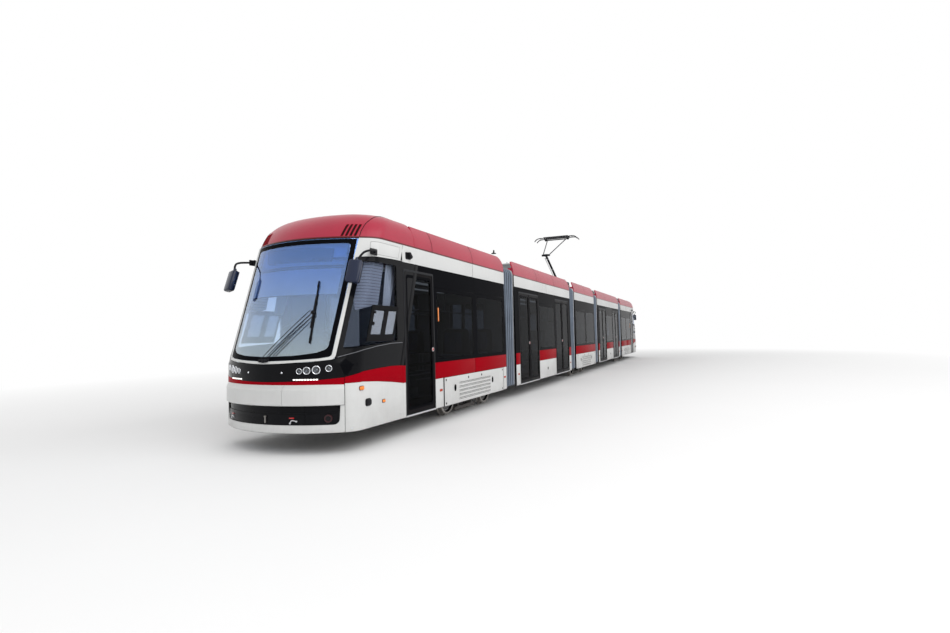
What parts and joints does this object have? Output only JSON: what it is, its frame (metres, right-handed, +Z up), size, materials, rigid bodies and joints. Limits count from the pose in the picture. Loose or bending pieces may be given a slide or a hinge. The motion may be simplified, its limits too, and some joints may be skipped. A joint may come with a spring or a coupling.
{
  "type": "five-section low-floor tram",
  "caption": "Articulated low-floor tram in red, white and black, with cabs at both ends, pleated bellows, bogies under three sections and a raised single-arm pantograph.",
  "frame": {"origin": "centre of the tram's outline at the tips of the wheel flanges, 28 mm under the rail top", "axes": "+X along the tram towards the rear cab, +Y across to the side away from the picture, +Z up"},
  "size_m": [30, 2.5056, 5.3979],
  "materials": {
    "white_paint": "cream white gloss paint",
    "red_paint": "deep red gloss paint",
    "dark_steel": "dusty dark painted steel",
    "wheel_steel": "polished tread, dull disc",
    "tinted_glass": "dark tinted safety glass",
    "door_frame": "satin black door leaves",
    "black_gloss": "black gloss panel",
    "lamp_glass": "clear lamp lenses",
    "bellows_rubber": "grey pleated coated fabric",
    "seat_plastic": "seat shells and grab poles",
    "desk_plastic": "driver's desk, seat and partition",
    "pantograph_steel": "dark painted tube"
  },
  "bodies": {
    "mid_car": {"mid_car_underframe": "dark_steel", "mid_car_walls": "white_paint", "mid_car_glass": "tinted_glass", "mid_car_roof": "red_paint", "mid_car_interior": "seat_plastic", "pantograph_base": "pantograph_steel", "front_inner_bellows": "bellows_rubber", "rear_inner_bellows": "bellows_rubber"},
    "front_door_car": {"front_door_car_underframe": "dark_steel", "front_door_car_walls": "white_paint", "front_door_car_glass": "tinted_glass", "front_door_car_doors": "door_frame", "front_door_car_roof": "red_paint", "front_door_car_interior": "seat_plastic", "front_outer_bellows": "bellows_rubber"},
    "front_cab_car": {"front_cab_car_underframe": "dark_steel", "front_cab_car_walls": "white_paint", "front_cab_shell": "white_paint", "front_cab_lamps": "lamp_glass", "front_bumper": "white_paint", "front_tow_cover": "black_gloss", "front_cab_car_glass": "tinted_glass", "front_cab_car_doors": "door_frame", "front_cab_car_roof": "red_paint", "front_cab_car_interior": "seat_plastic", "front_cab_desk_and_seat": "desk_plastic", "front_mirrors": "black_gloss", "front_wiper": "black_gloss"},
    "rear_door_car": {"rear_door_car_underframe": "dark_steel", "rear_door_car_walls": "white_paint", "rear_door_car_glass": "tinted_glass", "rear_door_car_doors": "door_frame", "rear_door_car_roof": "red_paint", "rear_door_car_interior": "seat_plastic", "rear_outer_bellows": "bellows_rubber"},
    "rear_cab_car": {"rear_cab_car_underframe": "dark_steel", "rear_cab_car_walls": "white_paint", "rear_cab_shell": "white_paint", "rear_cab_lamps": "lamp_glass", "rear_bumper": "white_paint", "rear_tow_cover": "black_gloss", "rear_cab_car_glass": "tinted_glass", "rear_cab_car_doors": "door_frame", "rear_cab_car_roof": "red_paint", "rear_cab_car_interior": "seat_plastic", "rear_cab_desk_and_seat": "desk_plastic", "rear_mirrors": "black_gloss", "rear_wiper": "black_gloss"},
    "front_bogie": {"front_bogie_frame": "dark_steel"},
    "front_wheelset_a": {"front_bogie_wheelset_a": "wheel_steel"},
    "front_wheelset_b": {"front_bogie_wheelset_b": "wheel_steel"},
    "mid_bogie": {"mid_bogie_frame": "dark_steel"},
    "mid_wheelset_a": {"mid_bogie_wheelset_a": "wheel_steel"},
    "mid_wheelset_b": {"mid_bogie_wheelset_b": "wheel_steel"},
    "rear_bogie": {"rear_bogie_frame": "dark_steel"},
    "rear_wheelset_a": {"rear_bogie_wheelset_a": "wheel_steel"},
    "rear_wheelset_b": {"rear_bogie_wheelset_b": "wheel_steel"},
    "lower_arm": {"pantograph_lower_arm": "pantograph_steel"},
    "upper_arm": {"pantograph_upper_arm": "pantograph_steel"},
    "head": {"pantograph_head": "pantograph_steel"}
  },
  "joints": [
    {"name": "front_inner_articulation", "type": "hinge", "parent": "mid_car", "child": "front_door_car", "pos_m": [-2.05, 0, 0.36], "axis": [0, 0, 1], "range_deg": [-15, 15], "deforming": ["front_inner_bellows"]},
    {"name": "front_outer_articulation", "type": "hinge", "parent": "front_door_car", "child": "front_cab_car", "pos_m": [-8.35, 0, 0.36], "axis": [0, 0, 1], "range_deg": [-15, 15], "deforming": ["front_outer_bellows"]},
    {"name": "rear_inner_articulation", "type": "hinge", "parent": "mid_car", "child": "rear_door_car", "pos_m": [2.05, 0, 0.36], "axis": [0, 0, -1], "range_deg": [-15, 15], "deforming": ["rear_inner_bellows"]},
    {"name": "rear_outer_articulation", "type": "hinge", "parent": "rear_door_car", "child": "rear_cab_car", "pos_m": [8.35, 0, 0.36], "axis": [0, 0, -1], "range_deg": [-15, 15], "deforming": ["rear_outer_bellows"]},
    {"name": "front_bogie_yaw", "type": "hinge", "parent": "front_cab_car", "child": "front_bogie", "pos_m": [-10.094, 0, 0.3], "axis": [0, 0, 1], "range_deg": [-4, 4]},
    {"name": "front_wheelset_a_spin", "type": "hinge", "parent": "front_bogie", "child": "front_wheelset_a", "pos_m": [-11.019, 0, 0.323], "axis": [0, 1, 0], "continuous": true},
    {"name": "front_wheelset_b_spin", "type": "hinge", "parent": "front_bogie", "child": "front_wheelset_b", "pos_m": [-9.169, 0, 0.323], "axis": [0, 1, 0], "continuous": true},
    {"name": "mid_bogie_yaw", "type": "hinge", "parent": "mid_car", "child": "mid_bogie", "pos_m": [0, 0, 0.3], "axis": [0, 0, 1], "range_deg": [-4, 4]},
    {"name": "mid_wheelset_a_spin", "type": "hinge", "parent": "mid_bogie", "child": "mid_wheelset_a", "pos_m": [-0.925, 0, 0.323], "axis": [0, 1, 0], "continuous": true},
    {"name": "mid_wheelset_b_spin", "type": "hinge", "parent": "mid_bogie", "child": "mid_wheelset_b", "pos_m": [0.925, 0, 0.323], "axis": [0, 1, 0], "continuous": true},
    {"name": "rear_bogie_yaw", "type": "hinge", "parent": "rear_cab_car", "child": "rear_bogie", "pos_m": [10.094, 0, 0.3], "axis": [0, 0, 1], "range_deg": [-4, 4]},
    {"name": "rear_wheelset_a_spin", "type": "hinge", "parent": "rear_bogie", "child": "rear_wheelset_a", "pos_m": [9.169, 0, 0.323], "axis": [0, 1, 0], "continuous": true},
    {"name": "rear_wheelset_b_spin", "type": "hinge", "parent": "rear_bogie", "child": "rear_wheelset_b", "pos_m": [11.019, 0, 0.323], "axis": [0, 1, 0], "continuous": true},
    {"name": "pantograph_raise", "type": "hinge", "parent": "mid_car", "child": "lower_arm", "pos_m": [0.45, 0, 3.64], "axis": [0, 1, 0], "range_deg": [-23, 16]},
    {"name": "pantograph_knee", "type": "hinge", "parent": "lower_arm", "child": "upper_arm", "pos_m": [-1.14517, 0, 4.47393], "axis": [0, 1, 0], "range_deg": [-32, 46]},
    {"name": "pantograph_head_level", "type": "hinge", "parent": "upper_arm", "child": "head", "pos_m": [0.45, 0, 5.30787], "axis": [0, 1, 0], "range_deg": [-23, 16]}
  ],
  "couplings": [
    {"joint": "pantograph_knee", "follows": "pantograph_raise", "ratio": -2},
    {"joint": "pantograph_head_level", "follows": "pantograph_raise", "ratio": 1}
  ]
}
